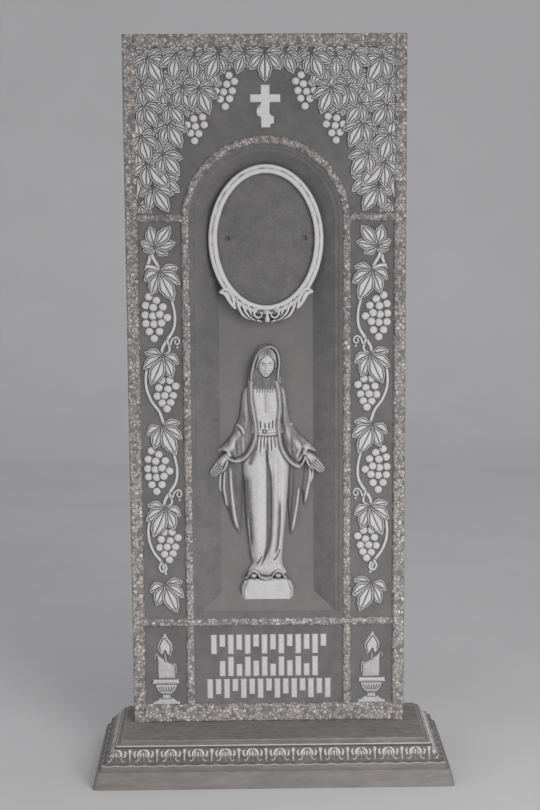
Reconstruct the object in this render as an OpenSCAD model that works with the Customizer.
// A cast concrete grave marker: an upright slab with a splayed, round-headed niche, standing on
// a moulded plinth. The slab carries a standing veiled figure, an oval portrait frame, vines,
// two candles, a cross and three rows of shallow strokes, all cast in one with it.
// Millimetres. +X right, +Y from the front to the back, +Z up.
// The origin is the middle of the plinth's underside.

/* [Slab] */
// Width of the slab
slab_w = 520; // [516:1:524]
// Height of the slab above the plinth
slab_h = 1300; // [1298:1:1320]
// Thickness of the slab
slab_t = 80; // [75:1:100]
// How far the slab stands to the left of the plinth's middle
slab_shift = 6; // [0:1:15]
// Width of the border down each side
border_w = 21; // [19:1:23]
// Height of the border at the foot
foot_border = 32; // [28:1:33]
// Height of the border at the head
head_border = 23; // [20:1:26]
// Width of the raised bars and of the arch
bar_w = 14; // [12:1:16]
// Depth of the sunk panels
panel_deep = 8; // [7.5:0.5:9]

/* [Niche] */
// Height of the arch's centre above the slab's foot
spring_z = 960; // [957:1:963]
// Radius of the arch's middle line
arch_r = 150; // [148:1:152]
// Depth of the flat band inside the arch
band_deep = 6; // [5:1:7]
// Half width of the niche at its mouth
mouth_r = 130; // [127:1:132]
// Half width of the niche at its back
back_r = 87; // [85:1:90]
// Depth of the niche's back
niche_deep = 40; // [38:1:42]
// Height of the niche's floor at its mouth
floor_z = 216; // [213:1:218]
// Rise of the niche's floor from its mouth to its back
floor_rise = 34; // [30:1:38]

/* [Portrait frame] */
// Width of the oval opening, for an 18 by 24 cm portrait
oval_w = 180; // [176:2:184]
// Height of the oval opening
oval_h = 244; // [240:2:248]
// Width of the oval rim
rim_w = 17; // [15:1:18]
// Height of the oval's centre above the slab's foot
oval_z = 926; // [924:1:928]
// Distance between the two portrait holes
hole_gap = 144; // [130:2:150]
// Diameter of the portrait holes
hole_d = 8; // [6:0.5:10]

/* [Plinth] */
// Width of the plinth at its foot
plinth_w = 674; // [660:2:690]
// Depth of the plinth at its foot
plinth_d = 290; // [282:2:320]
// Carved leaves along the front
front_leaves = 12; // [10:1:14]
// Carved leaves along each end
end_leaves = 5; // [4:1:6]

/* [Hidden] */
$fn = 48;

stone = [0.43, 0.42, 0.41];
plinth_h = 80;
half_w = slab_w / 2;
panel_x = half_w - border_w;                // outer edge of the sunk panels
bar_out = arch_r + bar_w / 2;               // outer edge of the bars and of the arch
bar_in = arch_r - bar_w / 2;                // inner edge of the bars and of the arch
low_bar_top = floor_z - (bar_in - mouth_r); // the band is as wide below the niche as beside it
side_mid = (panel_x + bar_out) / 2;         // middle of a side panel
bury = 1;                                   // how far a carving reaches into its ground
carve = 5;                                  // usual height of a carving above its panel
cut_over = 1;                               // how far a cut runs past the face

// ---------- general forms ----------

function polar(r, a) = [r * cos(a), r * sin(a)];
function ellipse(a, b, n) = [for (i = [0 : n - 1]) [a * cos(360 * i / n), b * sin(360 * i / n)]];
function reversed(list) = [for (i = [len(list) - 1 : -1 : 0]) list[i]];

// A pointed petal along +Y from the origin.
PETAL = [[0.42, 0.3], [0.5, 0.55], [0.3, 0.82]]; // [part of the width, part of the length]
function petal(length, width) = concat(
    [[0, 0]], [for (p = PETAL) [p[0] * width, p[1] * length]],
    [[0, length]], [for (p = reversed(PETAL)) [-p[0] * width, p[1] * length]]);

// The outline of a band of the given width along a line of points.
function band_side(line, out) = [for (i = [0 : len(line) - 1])
    let (a = line[max(i - 1, 0)], b = line[min(i + 1, len(line) - 1)], d = (b - a) / norm(b - a))
    line[i] + out * [-d[1], d[0]]];
function band(line, width) = concat(band_side(line, width / 2), reversed(band_side(line, -width / 2)));

// An outline on the front plane, x across and y up. It stands lift above the ground at depth deep.
module raised(deep, lift) {
    translate([0, deep + bury, 0]) rotate([90, 0, 0]) linear_extrude(lift + bury) children();
}

// An outline on the front plane, cut to the depth deep.
module sunk(deep) {
    translate([0, deep, 0]) rotate([90, 0, 0]) linear_extrude(deep + cut_over) children();
}

// A closed solid through rings of points, from the lowest ring up. The points of a ring
// go anticlockwise as seen from above. Each end is closed around the ring's middle.
function middle(ring) = [for (i = [0 : 2]) (min([for (p = ring) p[i]]) + max([for (p = ring) p[i]])) / 2];
module loft(rings) {
    n = len(rings[0]);
    last = len(rings) - 1;
    foot_middle = n * len(rings);
    head_middle = foot_middle + 1;
    polyhedron(
        points = concat([for (ring = rings) each ring], [middle(rings[0]), middle(rings[last])]),
        faces = concat(
            [for (i = [0 : n - 1]) [i, (i + 1) % n, foot_middle]],
            [for (k = [0 : last - 1], i = [0 : n - 1])
                [k * n + i, (k + 1) * n + i, (k + 1) * n + (i + 1) % n, k * n + (i + 1) % n]],
            [for (i = [0 : n - 1]) [last * n + (i + 1) % n, last * n + i, head_middle]]));
}

module both_sides() {
    children();
    mirror([1, 0, 0]) children();
}

// ---------- vine leaves and grapes ----------

// A five-lobed leaf. Its stalk is at the origin and its long lobe points along +X.
LOBES = [[-108, 0.66], [-54, 0.86], [0, 1], [54, 0.86], [108, 0.66]]; // [direction, length]
LOBE_SPREAD = 14;    // half the angle across a lobe where it is widest
LOBE_WIDEST = 0.66;  // where that is along the lobe
NOTCH = 0.36;        // where the gaps between lobes end
STALK_END = 0.24;    // how far the leaf reaches behind its stalk
function leaf_outline(size) = concat(
    [polar(STALK_END * size, 180)],
    [for (i = [0 : len(LOBES) - 1])
        let (a = LOBES[i][0], r = LOBES[i][1] * size, w = LOBE_WIDEST * r)
        each concat(
            [polar(w, a - LOBE_SPREAD), polar(r, a), polar(w, a + LOBE_SPREAD)],
            i < len(LOBES) - 1 ? [polar(NOTCH * size, (a + LOBES[i + 1][0]) / 2)] : [])]);

// place is [x, z, direction, size, lift].
module leaf(place) {
    raised(panel_deep, place[4])
        translate([place[0], place[1]]) rotate(place[2]) polygon(leaf_outline(place[3]));
}

GRAPE_R = 6.4;
GRAPE_STEP = 15;
// Rows of grapes, one below another. Each row is [x of its first grape, grapes].
module bunch(x, z, rows) {
    for (i = [0 : len(rows) - 1], j = [0 : rows[i][1] - 1])
        translate([x + rows[i][0] + GRAPE_STEP * j, panel_deep, z - GRAPE_STEP * i]) sphere(r = GRAPE_R);
}

// The upright vine, drawn about the middle of its panel and counted from the arch's spring.
BIG_BUNCH = [[-21, 2], [-28, 3], [-28, 4], [-28, 3], [-20, 2], [-12, 1]];
SMALL_BUNCH = [[1, 2], [-6, 3], [-6, 3], [1, 2], [9, 1]];
VINE_TOP = -92;      // height of the first hanging leaf's stalk
VINE_STEP = 290;     // the pattern's repeat
STEM_W = 6;
module vine_repeat(z) {
    leaf([0, z, -66, 56, carve]);
    bunch(0, z - 46, BIG_BUNCH);
    raised(panel_deep, carve - 1.5) translate([0, z])
        polygon(band([[21, -50], [26, -78], [23, -108], [8, -136]], STEM_W));
    raised(panel_deep, carve - 2) translate([27, z - 130]) difference() {
        circle(r = 8);
        circle(r = 3.5);
    }
    leaf([0, z - 163, -112, 50, carve - 0.5]);
    bunch(2, z - 204, SMALL_BUNCH);
    raised(panel_deep, carve - 1.5) translate([0, z])
        polygon(band([[-28, -200], [-26, -222], [-17, -245], [-3, -268]], STEM_W));
}

module vine() {
    translate([-side_mid, 0, spring_z]) {
        leaf([-5, VINE_TOP + 46, 92, 38, carve - 1]);
        for (i = [0, 1]) vine_repeat(VINE_TOP - VINE_STEP * i);
        leaf([0, VINE_TOP - 2 * VINE_STEP - 18, -70, 54, carve]);
    }
}

// The left half of the hanging foliage, counted from the arch's spring: [x, z, direction, size, lift].
GARLAND = [
    [-207, 63, -58, 48, 4.2], [-218, 107, -46, 54, 6.4], [-188, 123, -52, 44, 5.1],
    [-227, 155, -72, 45, 3.7], [-178, 178, -62, 47, 6.1], [-174, 212, -51, 38, 4.5],
    [-222, 212, -59, 40, 5.6], [-224, 246, -25, 40, 3.3], [-151, 245, -67, 44, 5.3],
    [-121, 242, -68, 46, 6.6], [-190, 276, -84, 38, 4.8], [-213, 297, -61, 47, 6.3],
    [-162, 302, -97, 42, 5.7], [-130, 298, -90, 34, 3.9], [-87, 302, -110, 44, 6.2],
    [-60, 304, -75, 28, 4.3], [-38, 304, -110, 36, 5.4]];
CENTRE_LEAF = [0, spring_z + 304, -90, 48, 6];
HIGH_BUNCH = [[-8, 2], [-15, 3], [-15, 3], [-8, 2]];
LOW_BUNCH = [[-8, 2], [-15, 3], [-8, 2], [0, 1]];

module garland() {
    translate([0, 0, spring_z]) {
        for (place = GARLAND) leaf(place);
        bunch(-73, 240, HIGH_BUNCH);
        bunch(-127, 194, LOW_BUNCH);
    }
}

// ---------- cross, candles and strokes ----------

// A cross with an upper bar and a foot bar aslant.
CROSS_Z = 170;       // foot of the cross above the arch's spring
CROSS_H = 78;
CROSS_BAR = 16;
module cross() {
    raised(panel_deep, carve - 2) translate([0, spring_z + CROSS_Z]) {
        translate([-CROSS_BAR / 2, 0]) square([CROSS_BAR, CROSS_H]);
        translate([-28, 47]) square([56, CROSS_BAR - 1]);
        translate([0, 24]) rotate(-32) square([34, CROSS_BAR - 3], center = true);
    }
}

// The outline of the candle's stand, turned about its axis: foot, stem, bowl and rim.
STAND = [[0, 32], [26, 32], [26, 37], [16, 42], [9, 48], [8, 55], [10, 59], [17, 65], [20, 75],
    [26, 77], [26, 85], [0, 85]];
module candle() {
    translate([-side_mid, 0, 0]) {
        translate([0, panel_deep, 0]) intersection() {
            rotate_extrude() polygon(STAND);
            translate([-40, -carve, 0]) cube([80, carve + bury, 100]);
        }
        raised(panel_deep, carve - 1)
            polygon([[-16, 84], [17, 84], [17, 120], [6, 124], [-6, 128], [-14, 138], [-16, 132]]);
        raised(panel_deep, carve - 2) translate([0, 131]) difference() {
            polygon(petal(48, 30));
            translate([0, 6]) polygon(petal(16, 7));
        }
    }
}

// Upright strokes of three lengths, in rows.
ROWS = [[44, 243, 0], [88, 190, 1], [132.5, 227, 2]]; // [foot, length of the row, first stroke]
STROKE = [10, 38.5, 2.5];    // width, height, lift
STROKE_STEP = 16.2;
SHORT_BY = [0, 8, 0, 14];    // how much shorter each stroke in turn is
module strokes() {
    for (row = ROWS) {
        count = floor((row[1] + STROKE_STEP - STROKE[0]) / STROKE_STEP);
        for (i = [0 : count - 1]) {
            short = SHORT_BY[(i + row[2]) % len(SHORT_BY)];
            raised(panel_deep, STROKE[2])
                translate([(i - (count - 1) / 2) * STROKE_STEP - STROKE[0] / 2, row[0] + short * (i % 2)])
                    square([STROKE[0], STROKE[1] - short]);
        }
    }
}

// ---------- portrait frame ----------

RIM_FACE = 10;         // depth of the rim's face
FIELD_DEEP = 20;       // depth of the field inside the rim
GROOVE = [0.42, 0.62]; // edges of the groove along the rim, as parts of its width
HOLE_END = 50;         // depth at which the portrait holes end
HOLE_RISE = 2;         // how far the holes stand above the oval's centre
OVAL_SIDES = 72;
module oval(grow) {
    polygon(ellipse(oval_w / 2 + grow, oval_h / 2 + grow, OVAL_SIDES));
}

module portrait_frame() {
    translate([0, 0, oval_z]) {
        difference() {
            raised(niche_deep, niche_deep - RIM_FACE) oval(rim_w);
            sunk(FIELD_DEEP) oval(0);
            sunk(RIM_FACE + 1.5) difference() {
                oval(rim_w * GROOVE[1]);
                oval(rim_w * GROOVE[0]);
            }
        }
        // a spray of curled leaves around its foot, with a drop in the middle
        both_sides() for (i = [0 : 6]) {
            turn = 281 + 9 * i;
            raised(niche_deep, niche_deep - RIM_FACE + 1 + 0.3 * (i % 2))
                translate([(oval_w + rim_w) / 2 * cos(turn), (oval_h + rim_w) / 2 * sin(turn)])
                    rotate(turn - 52) translate([0, -9]) polygon(petal(34 - 1.5 * i, 13));
        }
        raised(niche_deep, niche_deep - RIM_FACE + 2) translate([0, -oval_h / 2 - rim_w - 4]) circle(r = 9);
    }
}

module portrait_holes() {
    for (s = [-1, 1])
        translate([s * hole_gap / 2, HOLE_END, oval_z + HOLE_RISE])
            rotate([90, 0, 0]) cylinder(d = hole_d, h = HOLE_END);
}

// ---------- figure ----------

FIGURE_X = -4;       // the figure's middle line
RING_STEPS = 18;
// Half a ring standing on the niche's back, with folds across its front.
function robe_ring(row) = [for (i = [0 : RING_STEPS])
    let (t = 180 + 180 * i / RING_STEPS, full = pow(abs(sin(t)), 0.7), fold = 1 + row[4] * cos(row[3] * t))
    [FIGURE_X + row[1] * cos(t), niche_deep + bury - (row[2] + bury) * full * fold, row[0]]];

// Robe, mantle and veil from the hem up: [height, half width, depth, folds, strength of the folds]
ROBE = [
    [266, 36, 19, 12, 0.06], [292, 34, 21, 12, 0.08], [306, 31, 19, 12, 0.12], [345, 32, 20, 12, 0.12],
    [400, 36, 22, 12, 0.1], [450, 40, 24, 12, 0.08], [490, 42, 25, 12, 0.06], [520, 42, 25, 12, 0.05],
    [550, 42, 25, 10, 0.04], [572, 44, 24, 10, 0.03], [590, 46, 26, 8, 0.04], [612, 44, 25, 8, 0.04],
    [636, 40, 22, 6, 0.03], [650, 33, 19, 4, 0.02], [660, 28, 19, 4, 0], [678, 27, 22, 4, 0],
    [698, 26, 24, 4, 0], [712, 22, 23, 4, 0], [723, 15, 19, 4, 0], [729, 7, 12, 4, 0]];

// The head is an egg in the veil's opening, slightly bowed, with a plain nose.
HEAD_X = -1;
HEAD_Z = 692;
HEAD_BACK = 12;       // how far the egg's middle stands from the niche's back
HEAD = [16, 15, 25];  // half width, depth and half height
HEAD_STEPS = 8;
BOW = 1.5;
NOSE = 2;
function head_ring(v) = [for (i = [0 : 12])
    let (t = 180 + 15 * i, jaw = v < 0 ? 1 + 0.12 * sin(v) : 1,
         nose = NOSE * exp(-pow((t - 270) / 11, 2)) * exp(-pow((v + 10) / 16, 2)))
    [HEAD_X + HEAD[0] * cos(v) * jaw * cos(t),
     niche_deep - HEAD_BACK + HEAD[1] * cos(v) * sin(t) - nose - BOW * sin(v),
     HEAD_Z + HEAD[2] * sin(v)]];

// One arm, from the open hand up to the shoulder: [x, z, half width, depth]
ARM = [[104, 481, 4, 13], [98, 491, 9, 17], [89, 504, 10, 19], [80, 517, 14, 22], [65, 542, 18, 24],
    [48, 580, 15, 22], [40, 618, 12, 16], [31, 642, 7, 9]];
ARM_TILT = 28;       // slope of the arm's cross-sections
ARM_STEPS = 8;
function arm_ring(p) = [for (i = [0 : ARM_STEPS])
    let (t = 180 + 180 * i / ARM_STEPS)
    [p[0] + p[2] * cos(t) * cos(ARM_TILT), niche_deep + bury + (p[3] + bury) * sin(t),
     p[1] + p[2] * cos(t) * sin(ARM_TILT)]];

// Drapery that hangs from the forearm, and the three folds on it: [x, z, length, width]
DRAPE = [[44, 524], [90, 502], [91, 449], [80, 419], [69, 378], [54, 366], [38, 404]];
DRAPE_LIFT = 8;
DRAPE_FOLDS = [[56, 514, 150, 22], [72, 506, 128, 19], [86, 497, 84, 16]];
DRAPE_TURN = 176;
module arm() {
    loft([for (p = ARM) arm_ring(p)]);
    raised(niche_deep, DRAPE_LIFT) polygon(DRAPE);
    for (fold = DRAPE_FOLDS)
        raised(niche_deep, DRAPE_LIFT + fold[3] / 4)
            translate([fold[0], fold[1]]) rotate(DRAPE_TURN) polygon(petal(fold[2], fold[3]));
}

// A low block, and the tips of two shoes on it.
BLOCK_X = -1;
BLOCK = [[232, 51, 12], [262, 49, 12], [277, 40, 9]]; // [height, half width, depth]
SHOE = [22, 17, 281, 8.5]; // distance from the middle line, from the back, height and radius
module stand_block() {
    loft([for (b = BLOCK)
        [[BLOCK_X - b[1], niche_deep + bury, b[0]], [BLOCK_X - b[1], niche_deep - b[2], b[0]],
         [BLOCK_X + b[1], niche_deep - b[2], b[0]], [BLOCK_X + b[1], niche_deep + bury, b[0]]]]);
    translate([FIGURE_X, 0, 0]) both_sides()
        translate([SHOE[0], niche_deep - SHOE[1], SHOE[2]]) sphere(r = SHOE[3]);
}

module figure() {
    loft([for (row = ROBE) robe_ring(row)]);
    loft([for (k = [0 : HEAD_STEPS]) head_ring(-80 + 160 * k / HEAD_STEPS)]);
    translate([FIGURE_X, 0, 0]) both_sides() arm();
    stand_block();
}

// ---------- slab ----------

CHAMFER = 3;
module slab_blank() {
    linear_extrude(slab_h) polygon([
        [-half_w, CHAMFER], [-half_w + CHAMFER, 0], [half_w - CHAMFER, 0], [half_w, CHAMFER],
        [half_w, slab_t], [-half_w, slab_t]]);
}

// A round-headed hollow. From depth d0 to depth d1 its half width and the height of its foot
// go from half0 and foot0 to half1 and foot1.
module round_headed(d0, half0, foot0, d1, half1, foot1) {
    translate([0, 0, spring_z]) mirror([0, 1, 0]) rotate([90, 0, 0])
        rotate_extrude(angle = 180) polygon([[0, d0], [half0, d0], [half1, d1], [0, d1]]);
    polyhedron(
        points = [
            [-half0, d0, foot0], [half0, d0, foot0], [half0, d0, spring_z], [-half0, d0, spring_z],
            [-half1, d1, foot1], [half1, d1, foot1], [half1, d1, spring_z], [-half1, d1, spring_z]],
        faces = [[0, 3, 2, 1], [4, 5, 6, 7], [0, 1, 5, 4], [1, 2, 6, 5], [2, 3, 7, 6], [3, 0, 4, 7]]);
}

module sunk_panels() {
    low_top = low_bar_top - bar_w;
    high_foot = spring_z + bar_w;
    sunk(panel_deep) {
        // beside the niche, and below it
        for (s = [-1, 1], z = [[low_bar_top, spring_z], [foot_border, low_top]])
            translate([s * side_mid - (panel_x - bar_out) / 2, z[0]])
                square([panel_x - bar_out, z[1] - z[0]]);
        translate([-bar_in, foot_border]) square([2 * bar_in, low_top - foot_border]);
        // around the arch
        difference() {
            translate([-panel_x, high_foot]) square([2 * panel_x, slab_h - head_border - high_foot]);
            translate([0, spring_z]) circle(r = bar_out);
        }
    }
}

// The splay starts a little in front of the band, so that the two hollows overlap.
LEAD = 1;
module niche() {
    run = niche_deep - band_deep;
    lead_half = mouth_r + LEAD * (mouth_r - back_r) / run;
    lead_foot = floor_z - LEAD * floor_rise / run;
    round_headed(-cut_over, bar_in, low_bar_top, band_deep, bar_in, low_bar_top);
    round_headed(band_deep - LEAD, lead_half, lead_foot, niche_deep, back_r, floor_z + floor_rise);
}

module slab() {
    color(stone) translate([-slab_shift, 0, plinth_h]) difference() {
        union() {
            difference() {
                slab_blank();
                sunk_panels();
                niche();
            }
            both_sides() {
                garland();
                vine();
                candle();
            }
            leaf(CENTRE_LEAF);
            cross();
            strokes();
            portrait_frame();
            figure();
        }
        portrait_holes();
    }
}

// ---------- plinth ----------

// The moulding from the ground up: [height, how far it stands out from the top's edge along the
// front, how far at the ends, radius of its upright corners]
FOOT_BAND = [[0, 45, 54, 9], [31, 39.5, 46, 8], [32.5, 37.5, 41, 7], [43, 35.5, 36.5, 5], [46.5, 30, 30, 3]];
TOP_BEAD = [[66.5, 14, 14, 3], [67.8, 13, 13, 3], [69, 9, 9, 3], [70.5, 8.5, 8.5, 3], [71.5, 10.5, 10.5, 3],
    [73, 10, 10, 3], [74.5, 7, 7, 3], [77, 2.5, 2.5, 3], [80, 0, 0, 3]];
OGEE_LOW = [45.5, 29.5];  // foot of the leaf band, inside the foot band
OGEE_HIGH = [67.5, 12.5]; // head of the leaf band, inside the top bead
OGEE_ROWS = 6;
OGEE_BEND = 0.12;
LEAF_STEPS = 6;       // points across one leaf of the band
LEAF_LIFT = 3;
LEAF_START = 0.15;    // how much of its swell a leaf has at the band's foot
LEAF_SHIFT = 0.23;    // where the first leaf stands after a corner, in leaves
top_x = plinth_w / 2 - FOOT_BAND[0][2];
top_y = plinth_d / 2 - FOOT_BAND[0][1];

function corner_ring(level) = [for (q = [0 : 3], a = [0 : 30 : 90])
    let (sx = q == 0 || q == 3 ? 1 : -1, sy = q < 2 ? 1 : -1, r = level[3])
    [sx * (top_x + level[2] - r) + r * cos(90 * q + a),
     sy * (top_y + level[1] - r) + r * sin(90 * q + a), level[0]]];

// How far the leaf band stands out at v, from 0 at its foot to 1 at its head, and at u leaves
// from a corner.
function ogee(u, v) =
    OGEE_LOW[1] + (OGEE_HIGH[1] - OGEE_LOW[1]) * (v - OGEE_BEND * sin(360 * v))
    + LEAF_LIFT * (0.5 + 0.5 * cos(360 * (u - LEAF_SHIFT))) * sin(180 * min(1, LEAF_START + v));
// One side's points at v, for a side with count leaves whose middle is half_run from the
// side's end and half_across from the plinth's middle line, turned by q quarters.
function side_points(v, count, half_run, half_across, q) = [for (i = [0 : count * LEAF_STEPS - 1])
    let (u = i / LEAF_STEPS, out = ogee(u, v),
         a = (half_run + out) * (2 * u / count - 1), b = half_across + out)
    [a * cos(90 * q) + b * sin(90 * q), a * sin(90 * q) - b * cos(90 * q),
     OGEE_LOW[0] + (OGEE_HIGH[0] - OGEE_LOW[0]) * v]];
function leaf_ring(v) = [for (q = [0 : 3]) each q % 2 == 0
    ? side_points(v, front_leaves, top_x, top_y, q)
    : side_points(v, end_leaves, top_y, top_x, q)];

module plinth() {
    color(stone) {
        loft([for (level = FOOT_BAND) corner_ring(level)]);
        loft([for (k = [0 : OGEE_ROWS]) leaf_ring(k / OGEE_ROWS)]);
        loft([for (level = TOP_BEAD) corner_ring(level)]);
    }
}

plinth();
slab();
